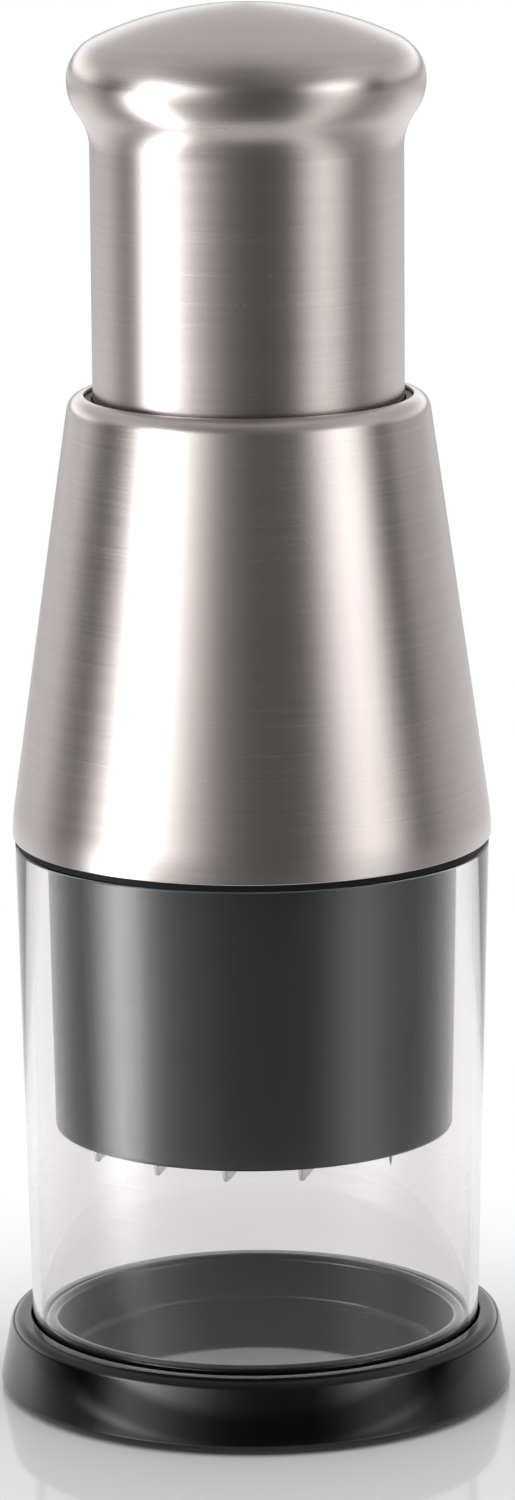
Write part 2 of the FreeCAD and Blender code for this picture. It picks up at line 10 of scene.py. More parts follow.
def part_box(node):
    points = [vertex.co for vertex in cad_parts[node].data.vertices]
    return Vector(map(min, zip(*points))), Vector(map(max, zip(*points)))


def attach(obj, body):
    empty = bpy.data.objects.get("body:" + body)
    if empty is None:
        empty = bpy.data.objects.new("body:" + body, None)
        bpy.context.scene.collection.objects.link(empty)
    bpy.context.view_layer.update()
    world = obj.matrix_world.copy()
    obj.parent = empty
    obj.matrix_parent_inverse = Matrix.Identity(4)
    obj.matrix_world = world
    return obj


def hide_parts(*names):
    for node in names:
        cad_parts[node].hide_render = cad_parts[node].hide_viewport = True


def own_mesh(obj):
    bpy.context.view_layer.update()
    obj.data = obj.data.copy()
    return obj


bl_info = {
    "name": "Plunger Food Chopper",
    "version": (1, 0, 0),
    "blender": (4, 5, 0),
    "location": "3D View > Sidebar > Chopper",
    "description": "Models and finishes the pieces of a plunger food chopper on its CAD frame",
    "category": "Add Mesh",
}

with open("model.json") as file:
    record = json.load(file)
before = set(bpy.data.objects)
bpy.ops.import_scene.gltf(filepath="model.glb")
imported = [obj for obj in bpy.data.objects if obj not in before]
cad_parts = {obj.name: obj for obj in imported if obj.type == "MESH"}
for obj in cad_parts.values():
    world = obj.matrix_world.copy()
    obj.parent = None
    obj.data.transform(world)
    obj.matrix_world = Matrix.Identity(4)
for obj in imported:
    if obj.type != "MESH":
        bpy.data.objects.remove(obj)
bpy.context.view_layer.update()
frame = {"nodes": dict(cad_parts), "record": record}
NODES = frame["nodes"]

MM = 0.001
MERGE = 1e-6
SMOOTH_ANGLE = math.radians(32)
ARC_STEP = math.radians(8)
ARC_CHORD = 1.2 * MM


def low(node):
    """Height of a CAD node's underside."""
    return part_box(node)[0].z


def high(node):
    """Height of a CAD node's top."""
    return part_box(node)[1].z


# ---- Sizes and colours ----
def length(name, description, default):
    """A size in metres."""
    return bpy.props.FloatProperty(
        name=name, description=description, default=default, min=0.0, precision=5, unit="LENGTH"
    )


def angle(name, description, degrees):
    """An angle, given in degrees."""
    return bpy.props.FloatProperty(
        name=name, description=description, default=math.radians(degrees), subtype="ANGLE"
    )


def colour(name, description, default):
    """A linear colour."""
    return bpy.props.FloatVectorProperty(
        name=name, description=description, default=default, size=3, min=0.0, max=1.0,
        subtype="COLOR",
    )


def number(name, description, default):
    """A plain factor between nought and one."""
    return bpy.props.FloatProperty(
        name=name, description=description, default=default, min=0.0, max=1.0, subtype="FACTOR"
    )


class ChopperKnob(bpy.types.PropertyGroup):
    """Sizes of the knob's steel cap and of the spring under it."""

    radius: length("Radius", "Outer radius of the knob's straight wall", 26.2 * MM)
    sheet: length("Sheet", "Thickness of the knob's steel", 0.8 * MM)
    flare_height: length("Flare height", "Height over which the wall swells", 11.2 * MM)
    bead_radius: length("Bead radius", "Widest radius of the knob", 29.97 * MM)
    shoulder_radius: length("Shoulder", "Rounding between bead and dome", 7.6 * MM)
    dome_radius: length("Dome", "Radius of the domed top", 60.0 * MM)
    foot_edge: length("Foot edge", "Rounding of the cap's lower edge", 0.2 * MM)
    spring_radius: length("Spring radius", "Middle radius of the return spring", 16.6 * MM)
    wire_radius: length("Wire radius", "Radius of the spring's wire", 0.8 * MM)
    spring_turns: bpy.props.IntProperty(
        name="Spring turns", description="Turns of the return spring", default=8, min=3
    )


class ChopperHousing(bpy.types.PropertyGroup):
    """Sizes of the steel cone, the seal under it and the guard inside the cup."""

    foot_radius: length("Foot radius", "Outer radius of the cone's foot", 40.6535 * MM)
    lean: angle("Lean", "Angle of the cone's wall from upright", 8.15)
    sheet: length("Sheet", "Thickness of the cone's steel", 0.7 * MM)
    roll_height: length("Roll height", "Height of the upright band at the foot", 2.92 * MM)
    roll_radius: length("Roll radius", "Rounding between the band and the wall", 36.5 * MM)
    mouth_roll: length("Mouth roll", "Rounding of the rolled mouth", 2.8 * MM)
    mouth_radius: length("Mouth radius", "Radius of the opening round the knob", 27.7 * MM)
    sheet_edge: length("Sheet edge", "Rounding of the steel's cut edges", 0.2 * MM)
    liner_wall: length("Liner wall", "Thickness of the plastic liner", 1.8 * MM)
    seal_recess: length("Seal recess", "How far the seal stays inside the steel", 0.36 * MM)
    seal_thickness: length("Seal thickness", "Height of the seal's visible edge", 1.2 * MM)
    guard_foot_radius: length("Guard foot", "Outer radius of the guard's foot", 34.03 * MM)
    guard_taper: angle("Guard taper", "Angle of the guard's wall from upright", 1.57)
    guard_wall: length("Guard wall", "Thickness of the guard's wall", 1.3 * MM)
    guard_edge: length("Guard edge", "Rounding of the guard's foot", 0.8 * MM)
    guard_lip: length("Guard lip", "Thickness of the lip that carries the wiper", 1.4 * MM)
    guard_lip_width: length("Guard lip width", "Reach of that lip", 1.35 * MM)
    guard_flange: length("Guard flange", "Thickness of the guard's top", 2.0 * MM)
    guard_bore: length("Guard bore", "Radius of the hole in the guard's top", 17.0 * MM)


class ChopperCup(bpy.types.PropertyGroup):
    """Sizes of the clear cup and the base."""

    foot_radius: length("Foot radius", "Outer radius of the cup's foot", 38.26 * MM)
    taper: angle("Taper", "Angle of the cup's wall from upright", 1.31)
    wall: length("Wall", "Thickness of the cup's wall", 2.0 * MM)
    edge: length("Edge", "Rounding of the cup's edges", 0.4 * MM)
    fit: length("Fit", "Room between cup and groove", 0.3 * MM)
    cap_radius: length("Cap radius", "Radius of the base at its foot", 44.3 * MM)
    cap_height: length("Cap height", "Height of the ring round the cup's foot", 12.6 * MM)
    cap_lean: length("Cap lean", "How far the base's wall leans in", 2.3 * MM)
    cap_foot_edge: length("Cap foot edge", "Rounding of the base's foot", 1.2 * MM)
    cap_crest: length("Cap crest", "Rounding of the base's top", 2.0 * MM)
    cap_lip: length("Cap lip", "Rounding at the mouth of the groove", 0.3 * MM)
    groove_floor: length("Groove floor", "Height that the cup stands at", 6.0 * MM)
    dish_floor: length("Dish floor", "Height of the dish's floor", 5.0 * MM)
    dish_floor_edge: length("Dish floor edge", "Rounding round the dish's floor", 1.8 * MM)
    dish_draft: length("Dish draft", "How far the dish narrows to its floor", 0.6 * MM)
    dish_rim_width: length("Dish rim width", "Width of the dish's rim", 2.4 * MM)
    dish_rim_edge: length("Dish rim edge", "Rounding of the dish's rim", 1.1 * MM)
    recess_top: length("Recess", "Height of the hollow under the dish", 3.0 * MM)
    recess_radius: length("Recess radius", "Radius of that hollow", 33.96 * MM)
    rib_width: length("Rib width", "Thickness of the ribs in that hollow", 1.6 * MM)
    rib_bottom: length("Rib bottom", "Height of the ribs' lower edges", 1.1 * MM)
    hub_radius: length("Hub radius", "Radius of the boss where the ribs meet", 6.0 * MM)
    rib_edge: length("Rib edge", "Rounding of the ribs' edges", 0.2 * MM)
    foot_inner: length("Foot ring inside", "Inner radius of the rubber ring", 38.6 * MM)
    foot_outer: length("Foot ring outside", "Outer radius of the rubber ring", 41.9 * MM)
    foot_edge: length("Foot ring edge", "Rounding of the rubber ring", 0.6 * MM)


class ChopperBlade(bpy.types.PropertyGroup):
    """Sizes of the folded blade."""

    radius: length("Radius", "Radius that the folds reach", 30.268 * MM)
    inset: length("Inset", "How far the end folds stay inside that radius", 3.2 * MM)
    thickness: length("Thickness", "Thickness of the strip", 0.5 * MM)
    bend: length("Bend", "Middle radius of each fold", 0.35 * MM)
    notch: length("Notch", "Rise of the lower edge between two folds", 4.0 * MM)
    ground: length("Ground edge", "Height of the sharpened band", 1.1 * MM)
    turn: angle("Turn", "Turn of the strip about the axis", -15.0)
    keen: number("Keenness", "Thickness left at the sharp edge", 0.16)
    folds: bpy.props.IntProperty(
        name="Folds", description="Folds of the strip", default=10, min=4
    )


class ChopperColours(bpy.types.PropertyGroup):
    """Colours of the finishes."""

    steel: colour("Steel", "Brushed steel", (0.62, 0.566, 0.546))
    blade: colour("Blade steel", "Ground blade steel", (0.62, 0.62, 0.62))
    wire: colour("Wire", "Drawn spring wire and screws", (0.56, 0.56, 0.57))
    brass: colour("Brass", "Threaded insert", (0.62, 0.42, 0.17))
    base: colour("Base", "Glossy black of the base", (0.0025, 0.0025, 0.0028))
    rubber: colour("Rubber", "Foot ring", (0.016, 0.016, 0.016))
    # The seal's near-black is partly its own black rubber and partly painted shade of the
    # recessed gap under the steel's foot.
    seal: colour("Seal", "Seal ring", (0.004, 0.004, 0.005))
    guard: colour("Guard", "Charcoal of the blade guard", (0.021, 0.022, 0.024))
    liner: colour("Liner", "Black inner mouldings", (0.010, 0.010, 0.011))
    acetal: colour("Acetal", "Natural index mouldings", (0.62, 0.60, 0.54))
    carrier: colour("Carrier", "Grey blade mouldings", (0.040, 0.041, 0.043))
    clear: colour("Clear", "Tint of the clear cup", (0.938, 0.922, 0.929))
    sides: bpy.props.IntProperty(
        name="Sides", description="Sides of each turned piece", default=256, min=32
    )


# ---- Modelling helpers ----
def clear_selection():
    """Leaves object mode with nothing selected."""
    if bpy.context.object and bpy.context.object.mode != "OBJECT":
        bpy.ops.object.mode_set(mode="OBJECT")
    bpy.ops.object.select_all(action="DESELECT")


def edit_all():
    """Goes into edit mode with everything selected."""
    bpy.ops.object.mode_set(mode="EDIT")
    bpy.ops.mesh.select_all(action="SELECT")


def arc(centre, radius, first, last):
    """Points along an arc of a section, both ends included."""
    sweep = abs(last - first)
    steps = max(3, math.ceil(sweep / ARC_STEP), math.ceil(sweep * radius / ARC_CHORD))
    angles = [first + (last - first) * step / steps for step in range(steps + 1)]
    return [centre + Vector((math.cos(a), math.sin(a))) * radius for a in angles]


def fillet(before, corner, after, radius):
    """Points along the arc that rounds one corner."""
    back = (before - corner).normalized()
    ahead = (after - corner).normalized()
    half = back.angle(ahead) / 2
    reach = radius / math.tan(half)
    centre = corner + (back + ahead).normalized() * (radius / math.sin(half))
    start = corner + back * reach - centre
    end = corner + ahead * reach - centre
    side = math.copysign(1.0, start.x * end.y - start.y * end.x)
    first = math.atan2(start.y, start.x)
    return arc(centre, radius, first, first + side * (math.pi - 2 * half))


def rounded(corners):
    """Points through (across, up) corners; a third number rounds its corner."""
    places = [Vector(corner[:2]) for corner in corners]
    points = []
    for index, corner in enumerate(corners):
        if len(corner) < 3:
            points.append(places[index])
            continue
        following = places[(index + 1) % len(places)]
        points.extend(fillet(places[index - 1], places[index], following, corner[2]))
    return points


def drawn(name, points):
    """A new piece in edit mode: one vertex drawn along the points."""
    clear_selection()
    bpy.ops.mesh.primitive_circle_add(vertices=3, radius=MM, location=(0, 0, 0))
    piece = bpy.context.object
    piece.name = name
    piece.data.name = name
    edit_all()
    bpy.ops.mesh.merge(type="CENTER")
    bpy.ops.transform.translate(value=points[0])
    for before, after in zip(points, points[1:]):
        bpy.ops.mesh.extrude_vertices_move(TRANSFORM_OT_translate={"value": after - before})
    return piece


def tidy_surface():
    """Merges doubles and turns every face outwards, in edit mode."""
    bpy.ops.mesh.select_all(action="SELECT")
    bpy.ops.mesh.remove_doubles(threshold=MERGE)
    bpy.ops.mesh.normals_make_consistent(inside=False)
    bpy.ops.object.mode_set(mode="OBJECT")


def turned(name, section):
    """A piece turned about the Z axis. A section that doesn't end on the axis is closed."""
    sides = bpy.context.scene.chopper_colours.sides
    points = [Vector((point[0], 0, point[1])) for point in section]
    if points[0].x > MERGE:
        points.append(points[0])
    piece = drawn(name, points)
    bpy.ops.mesh.select_all(action="SELECT")
    bpy.ops.mesh.remove_doubles(threshold=MERGE)
    bpy.ops.mesh.spin(steps=sides, angle=math.tau, center=(0, 0, 0), axis=(0, 0, 1))
    tidy_surface()
    bpy.ops.object.shade_smooth_by_angle(angle=SMOOTH_ANGLE)
    return piece


def block(low_corner, high_corner, edge, turn):
    """A block between two corners, with rounded edges, turned about the Z axis."""
    clear_selection()
    bpy.ops.mesh.primitive_cube_add(size=1, location=(0, 0, 0))
    edit_all()
    bpy.ops.transform.resize(value=high_corner - low_corner, center_override=(0, 0, 0))
    bpy.ops.mesh.bevel(offset=edge, segments=2)
    bpy.ops.mesh.select_all(action="SELECT")
    bpy.ops.transform.translate(value=(low_corner + high_corner) / 2)
    bpy.ops.transform.rotate(value=-turn, orient_axis="Z", center_override=(0, 0, 0))
    bpy.ops.object.mode_set(mode="OBJECT")
    return bpy.context.object


def united(pieces):
    """Several pieces of one moulding as one piece, named like the last of them."""
    clear_selection()
    for piece in pieces:
        piece.select_set(True)
    bpy.context.view_layer.objects.active = pieces[-1]
    bpy.ops.object.join()
    return pieces[-1]


def coat(piece, slot):
    """Gives a piece the material of one slot."""
    piece.data.materials.clear()
    piece.data.materials.append(finish(slot))


def finished(piece, body, node, slot):
    """Gives a finished piece its material and its body, and hides the CAD node that it stands
    for.
    """
    coat(piece, slot)
    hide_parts(node)
    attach(piece, body)


# ---- Material helpers ----
UNIT = (0.0, 1.0)
# The span that holds nearly all of a noise's values.
NOISE = (0.3, 0.7)


def add(tree, kind, inputs=None, **settings):
    """A new node. An input given as a socket is linked, and any other value is set."""
    node = tree.nodes.new(kind)
    for key, value in settings.items():
        setattr(node, key, value)
    for key, value in (inputs or {}).items():
        if isinstance(value, bpy.types.NodeSocket):
            tree.links.new(value, node.inputs[key])
        else:
            node.inputs[key].default_value = value
    return node


def maths(tree, operation, first, second=0.0, clamp=False):
    """The output of one Math node."""
    return add(tree, "ShaderNodeMath", {0: first, 1: second},
               operation=operation, use_clamp=clamp).outputs[0]


def blend(tree, share, first, second):
    """Mixes two colours by a share."""
    return add(tree, "ShaderNodeMix", {"Factor": share, 6: first, 7: second},
               data_type="RGBA").outputs[2]


def span(tree, value, low_in, high_in, low_out, high_out):
    """Maps a value from one span to another, held at its ends."""
    return add(tree, "ShaderNodeMapRange", {
        "Value": value, "From Min": low_in, "From Max": high_in,
        "To Min": low_out, "To Max": high_out,
    }).outputs["Result"]


def between(tree, share, first, second):
    """Mixes two values by a share."""
    return add(tree, "ShaderNodeMix", {0: share, 2: first, 3: second}).outputs[0]


def new_group(name, inputs, outputs):
    """An empty shader group with its named sockets; returns tree, input node and output node."""
    tree = bpy.data.node_groups.new(name, "ShaderNodeTree")
    for label, kind, default in inputs:
        socket = tree.interface.new_socket(name=label, in_out="INPUT", socket_type=kind)
        if default is not None:
            socket.default_value = default
    for label, kind in outputs:
        tree.interface.new_socket(name=label, in_out="OUTPUT", socket_type=kind)
    return tree, tree.nodes.new("NodeGroupInput"), tree.nodes.new("NodeGroupOutput")


FLOAT = "NodeSocketFloat"
VECTOR = "NodeSocketVector"
# Share of the fineness, and weight, of each layer of brushing.
BRUSH_LAYERS = ((1.0, 0.75), (0.31, 0.25))


def round_brushing_group():
    """Fine lines that run round the Z axis, on walls, cones and domes alike."""
    tree, given, result = new_group(
        "Round Brushing",
        [("Vector", VECTOR, None), ("Fineness", FLOAT, 2600.0), ("Breaks", FLOAT, 20.0)],
        [("Lines", FLOAT), ("Height", FLOAT)],
    )
    split = add(tree, "ShaderNodeSeparateXYZ", {0: given.outputs["Vector"]})
    x, y, z = split.outputs
    across = maths(tree, "SQRT", maths(tree, "ADD", maths(tree, "MULTIPLY", x, x),
                                       maths(tree, "MULTIPLY", y, y)))
    fineness = given.outputs["Fineness"]
    breaks = given.outputs["Breaks"]
    layers = []
    for share, _ in BRUSH_LAYERS:
        scale = maths(tree, "MULTIPLY", fineness, share)
        place = add(tree, "ShaderNodeCombineXYZ", {
            0: maths(tree, "MULTIPLY", across, scale),
            1: maths(tree, "MULTIPLY", z, scale),
            2: maths(tree, "MULTIPLY", x, breaks),
        })
        layers.append(add(tree, "ShaderNodeTexNoise", {
            "Vector": place.outputs[0], "W": maths(tree, "MULTIPLY", y, breaks),
            "Scale": 1.0, "Detail": 2.0, "Roughness": 0.6,
        }, noise_dimensions="4D").outputs[0])
    lines = maths(tree, "ADD", *[
        maths(tree, "MULTIPLY", layer, weight) for layer, (_, weight) in zip(layers, BRUSH_LAYERS)
    ])
    tree.links.new(span(tree, lines, *NOISE, *UNIT), result.inputs["Lines"])
    tree.links.new(lines, result.inputs["Height"])
    return tree


def moulded_skin_group():
    """The faint texture and mottle that a mould leaves."""
    tree, given, result = new_group(
        "Moulded Skin",
        [("Vector", VECTOR, None), ("Grain", FLOAT, 900.0), ("Mottle Size", FLOAT, 45.0)],
        [("Mottle", FLOAT), ("Height", FLOAT)],
    )
    grain = add(tree, "ShaderNodeTexNoise", {
        "Vector": given.outputs["Vector"], "Scale": given.outputs["Grain"],
        "Detail": 3.0, "Roughness": 0.55,
    }).outputs[0]
    mottle = add(tree, "ShaderNodeTexNoise", {
        "Vector": given.outputs["Vector"], "Scale": given.outputs["Mottle Size"],
        "Detail": 4.0, "Roughness": 0.5,
    }).outputs[0]
    tree.links.new(span(tree, mottle, *NOISE, *UNIT), result.inputs["Mottle"])
    tree.links.new(grain, result.inputs["Height"])
    return tree


def handling_group():
    """Soft smudges and the polish that handling leaves on edges."""
    tree, given, result = new_group(
        "Handling",
        [("Vector", VECTOR, None), ("Smudge Size", FLOAT, 30.0)],
        [("Smudge", FLOAT), ("Edge", FLOAT)],
    )
    cloud = add(tree, "ShaderNodeTexNoise", {
        "Vector": given.outputs["Vector"], "Scale": given.outputs["Smudge Size"],
        "Detail": 5.0, "Roughness": 0.62, "Distortion": 0.6,
    }).outputs[0]
    point = add(tree, "ShaderNodeNewGeometry").outputs["Pointiness"]
    tree.links.new(span(tree, cloud, 0.42, 0.68, *UNIT), result.inputs["Smudge"])
    tree.links.new(span(tree, point, 0.505, 0.56, *UNIT), result.inputs["Edge"])
    return tree


def group(name):
    """A shared shader group by name, built the first time that it is asked for."""
    makers = {
        "Round Brushing": round_brushing_group,
        "Moulded Skin": moulded_skin_group,
        "Handling": handling_group,
    }
    return bpy.data.node_groups.get(name) or makers[name]()


def new_material(name):
    """An empty material; returns it, its tree, its output node and its Object coordinates."""
    made = bpy.data.materials.new(name)
    made.use_nodes = True
    tree = made.node_tree
    tree.nodes.clear()
    output = add(tree, "ShaderNodeOutputMaterial")
    place = add(tree, "ShaderNodeTexCoord").outputs["Object"]
    return made, tree, output, place


def effect(tree, name, inputs):
    """A shared group, placed in a material with its own values."""
    return add(tree, "ShaderNodeGroup", inputs, node_tree=group(name)).outputs


def shade(base, factor):
    """A colour made darker or lighter, with full alpha."""
    return tuple(min(1.0, channel * factor) for channel in base) + (1.0,)


def grey(level):
    """A grey of full alpha."""
    return (level, level, level, 1.0)


def mottled(tree, share, base, tones, edge, polish, bright):
    """A colour that strays between two tones and is polished brighter at its edges."""
    tone = blend(tree, share, *[shade(base, factor) for factor in tones])
    return blend(tree, maths(tree, "MULTIPLY", edge, polish), tone, shade(base, bright))


def uneven(tree, value, ends, levels, smudge, share):
    """A roughness that follows a value from one level to another, and that smudges add to."""
    return maths(tree, "ADD", span(tree, value, *ends, *levels),
                 maths(tree, "MULTIPLY", smudge, share))


def brushed_metal(name, base, roughness, anisotropic, fineness, depth):
    """Metal brushed round the axis."""
    made, tree, output, place = new_material(name)
    brush = effect(tree, "Round Brushing", {"Vector": place, "Fineness": fineness})
    marks = effect(tree, "Handling", {"Vector": place})
    tone = mottled(tree, brush["Lines"], base, (0.965, 1.035), marks["Edge"], 0.5, 1.15)
    rough = uneven(tree, brush["Lines"], UNIT, (roughness - 0.02, roughness + 0.02),
                   marks["Smudge"], 0.02)
    bump = add(tree, "ShaderNodeBump", {
        "Height": brush["Height"], "Strength": 0.11, "Distance": depth,
    })
    surface = add(tree, "ShaderNodeBsdfPrincipled", {
        "Base Color": tone, "Metallic": 1.0, "Roughness": rough,
        "Anisotropic": anisotropic, "Anisotropic Rotation": 0.25,
        "Normal": bump.outputs[0],
        "Tangent": add(tree, "ShaderNodeTangent", direction_type="RADIAL", axis="Z").outputs[0],
    })
    tree.links.new(surface.outputs[0], output.inputs[0])
    return made


def plain_metal(name, base, roughness, grain):
    """Drawn, rolled or turned metal with a fine irregular grain."""
    made, tree, output, place = new_material(name)
    skin = effect(tree, "Moulded Skin", {"Vector": place, "Grain": grain})
    marks = effect(tree, "Handling", {"Vector": place, "Smudge Size": 90.0})
    tone = mottled(tree, skin["Mottle"], base, (0.86, 1.08), marks["Edge"], 0.6, 1.2)
    rough = uneven(tree, skin["Height"], NOISE, (roughness - 0.05, roughness + 0.05),
                   marks["Smudge"], 0.06)
    bump = add(tree, "ShaderNodeBump", {
        "Height": skin["Height"], "Strength": 0.3, "Distance": 0.02 * MM,
    })
    surface = add(tree, "ShaderNodeBsdfPrincipled", {
        "Base Color": tone, "Metallic": 1.0, "Roughness": rough, "Normal": bump.outputs[0],
    })
    tree.links.new(surface.outputs[0], output.inputs[0])
    return made


def moulding(name, base, roughness, grain, depth, gloss=0.5):
    """Moulded plastic or rubber."""
    made, tree, output, place = new_material(name)
    skin = effect(tree, "Moulded Skin", {"Vector": place, "Grain": grain})
    marks = effect(tree, "Handling", {"Vector": place})
    tone = mottled(tree, skin["Mottle"], base, (0.88, 1.12), marks["Edge"], 0.35, 1.6)
    rough = uneven(tree, skin["Mottle"], UNIT, (roughness, roughness * 1.15),
                   marks["Smudge"], roughness * 0.05)
    bump = add(tree, "ShaderNodeBump", {
        "Height": skin["Height"], "Strength": 0.25, "Distance": depth,
    })
    surface = add(tree, "ShaderNodeBsdfPrincipled", {
        "Base Color": tone, "Roughness": rough, "IOR": 1.5, "Specular IOR Level": gloss,
        "Normal": bump.outputs[0],
    })
    tree.links.new(surface.outputs[0], output.inputs[0])
    return made


def clear_plastic(name, base):
    """Clear moulded plastic with faint haze; lamps shine through it."""
    made, tree, output, place = new_material(name)
    skin = effect(tree, "Moulded Skin", {"Vector": place, "Grain": 260.0, "Mottle Size": 18.0})
    marks = effect(tree, "Handling", {"Vector": place, "Smudge Size": 22.0})
    tone = blend(tree, skin["Mottle"], shade(base, 0.99), shade(base, 1.01))
    rough = maths(tree, "MULTIPLY", marks["Smudge"], 0.012)
    bump = add(tree, "ShaderNodeBump", {
        "Height": skin["Mottle"], "Strength": 0.1, "Distance": 0.02 * MM,
    })
    surface = add(tree, "ShaderNodeBsdfPrincipled", {
        "Base Color": tone, "Roughness": rough, "IOR": 1.49, "Metallic": 0.0,
        "Transmission Weight": 1.0, "Normal": bump.outputs[0],
    })
    through = add(tree, "ShaderNodeBsdfTransparent", {"Color": shade(base, 0.97)})
    mix = add(tree, "ShaderNodeMixShader", {
        0: add(tree, "ShaderNodeLightPath").outputs["Is Shadow Ray"],
        1: surface.outputs[0], 2: through.outputs[0],
    })
    tree.links.new(mix.outputs[0], output.inputs[0])
    return made


# By the record's slot: maker, name, colour setting, then the maker's own values.
FINISHES = {
    "brushed_steel": (brushed_metal, "Brushed Steel", "steel", 0.25, 0.72, 2600.0, 0.02 * MM),
    "blade_steel": (plain_metal, "Blade Steel", "blade", 0.24, 700.0),
    "spring_steel": (plain_metal, "Spring Wire", "wire", 0.30, 1100.0),
    "screw_steel": (plain_metal, "Screw Steel", "wire", 0.28, 900.0),
    "insert_brass": (plain_metal, "Insert Brass", "brass", 0.30, 900.0),
    "base_black": (moulding, "Gloss Black Moulding", "base", 0.05, 1400.0, 0.0004 * MM),
    "foot_rubber": (moulding, "Foot Rubber", "rubber", 0.62, 1600.0, 0.06 * MM),
    # The seal's near-black colour and low gloss (0.15) are partly black rubber and partly painted
    # shade of the gap under the steel's foot.
    "seal_black": (moulding, "Seal Rubber", "seal", 0.5, 1200.0, 0.03 * MM, 0.15),
    "guard_charcoal": (moulding, "Charcoal Moulding", "guard", 0.20, 1800.0, 0.0008 * MM),
    "liner_black": (moulding, "Liner Moulding", "liner", 0.40, 700.0, 0.03 * MM),
    "index_natural": (moulding, "Natural Acetal", "acetal", 0.36, 600.0, 0.02 * MM),
    "carrier_grey": (moulding, "Carrier Moulding", "carrier", 0.38, 800.0, 0.03 * MM),
    "wiper_grey": (moulding, "Wiper Moulding", "carrier", 0.42, 800.0, 0.03 * MM),
    "cup_clear": (clear_plastic, "Clear Moulding", "clear"),
}


def finish(slot):
    """The material of one slot, made the first time that it is asked for."""
    maker, name, tint, *values = FINISHES[slot]
    base = getattr(bpy.context.scene.chopper_colours, tint)
    return bpy.data.materials.get(name) or maker(name, base, *values)


# ---- Pieces ----
class BaseCapOperator(bpy.types.Operator):
    """Turn the glossy base with its dish, groove and foot channel"""

    bl_idname = "chopper.base_cap"
    bl_label = "Base Cap"

    ribs = 6

    def execute(self, context):
        cup = context.scene.chopper_cup
        foot, rim = low("base_cap"), high("base_cap")
        groove_depth = cup.cap_height - cup.groove_floor
        groove_outer = cup.foot_radius + groove_depth * math.tan(cup.taper) + cup.fit
        groove_inner = cup.foot_radius - cup.wall - cup.fit
        dish_radius = groove_inner - cup.dish_rim_width
        section = rounded([
            (0, cup.recess_top),
            (cup.recess_radius, cup.recess_top, cup.dish_rim_edge),
            (cup.recess_radius, foot, cup.cap_lip),
            (cup.foot_inner, foot),
            (cup.foot_inner, high("foot_ring")),
            (cup.foot_outer, high("foot_ring")),
            (cup.foot_outer, foot),
            (cup.cap_radius, foot, cup.cap_foot_edge),
            (cup.cap_radius - cup.cap_lean, cup.cap_height, cup.cap_crest),
            (groove_outer, cup.cap_height, cup.cap_lip),
            (groove_outer, cup.groove_floor),
            (groove_inner, cup.groove_floor),
            (groove_inner, rim, cup.dish_rim_edge),
            (dish_radius, rim, cup.dish_rim_edge),
            (dish_radius - cup.dish_draft, cup.dish_floor, cup.dish_floor_edge),
            (0, cup.dish_floor),
        ])
        top = cup.recess_top + cup.rib_edge
        hub = rounded([
            (0, cup.rib_bottom), (cup.hub_radius, cup.rib_bottom, cup.rib_edge),
            (cup.hub_radius, top), (0, top),
        ])
        pieces = [turned("base_hub", hub)]
        for step in range(self.ribs):
            rib = block(
                Vector((0, -cup.rib_width / 2, cup.rib_bottom)),
                Vector((cup.recess_radius + cup.rib_edge, cup.rib_width / 2, top)),
                cup.rib_edge, step * math.tau / self.ribs,
            )
            pieces.append(rib)
        pieces.append(turned("base_cap_moulding", section))
        piece = united(pieces)
        finished(piece, "base", "base_cap", "base_black")
        return {"FINISHED"}


class FootRingOperator(bpy.types.Operator):
    """Turn the rubber ring under the base"""

    bl_idname = "chopper.foot_ring"
    bl_label = "Foot Ring"

    def execute(self, context):
        cup = context.scene.chopper_cup
        section = rounded([
            (cup.foot_inner, low("foot_ring"), cup.foot_edge),
            (cup.foot_outer, low("foot_ring"), cup.foot_edge),
            (cup.foot_outer, high("foot_ring")),
            (cup.foot_inner, high("foot_ring")),
        ])
        piece = turned("foot_ring_rubber", section)
        finished(piece, "base", "foot_ring", "foot_rubber")
        return {"FINISHED"}


class ClearCupOperator(bpy.types.Operator):
    """Turn the tapered clear cup"""

    bl_idname = "chopper.clear_cup"
    bl_label = "Clear Cup"

    def execute(self, context):
        cup = context.scene.chopper_cup
        foot, rim = low("clear_cup"), high("clear_cup")
        rim_radius = cup.foot_radius + (rim - foot) * math.tan(cup.taper)
        section = rounded([
            (cup.foot_radius - cup.wall, foot, cup.edge),
            (cup.foot_radius, foot, cup.edge),
            (rim_radius, rim, cup.edge),
            (rim_radius - cup.wall, rim, cup.edge),
        ])
        piece = turned("clear_cup_wall", section)
        finished(piece, "cup", "clear_cup", "cup_clear")
        return {"FINISHED"}


def guard_radius(housing, height):
    """Outer radius of the blade guard at a height."""
    rise = height - low("blade_guard")
    return housing.guard_foot_radius + rise * math.tan(housing.guard_taper)


class SealRingOperator(bpy.types.Operator):
    """Turn the seal between the steel and the cup"""

    bl_idname = "chopper.seal_ring"
    bl_label = "Seal Ring"

    def execute(self, context):
        housing = context.scene.chopper_housing
        foot, crown = low("seal_ring"), high("seal_ring")
        shelf = foot + housing.seal_thickness
        reach = housing.foot_radius - housing.seal_recess
        rise = crown - shelf - housing.roll_height
        skin = (housing.sheet + housing.liner_wall) / math.cos(housing.lean)
        lip = housing.foot_radius - rise * math.tan(housing.lean) - skin - housing.sheet_edge
        bore = guard_radius(housing, high("blade_guard"))
        section = rounded([
            (bore, foot),
            (reach, foot, housing.seal_recess),
            (reach, shelf),
            (lip, shelf),
            (lip, crown),
            (bore, crown),
        ])
        piece = turned("seal_ring_rubber", section)
        finished(piece, "head", "seal_ring", "seal_black")
        return {"FINISHED"}


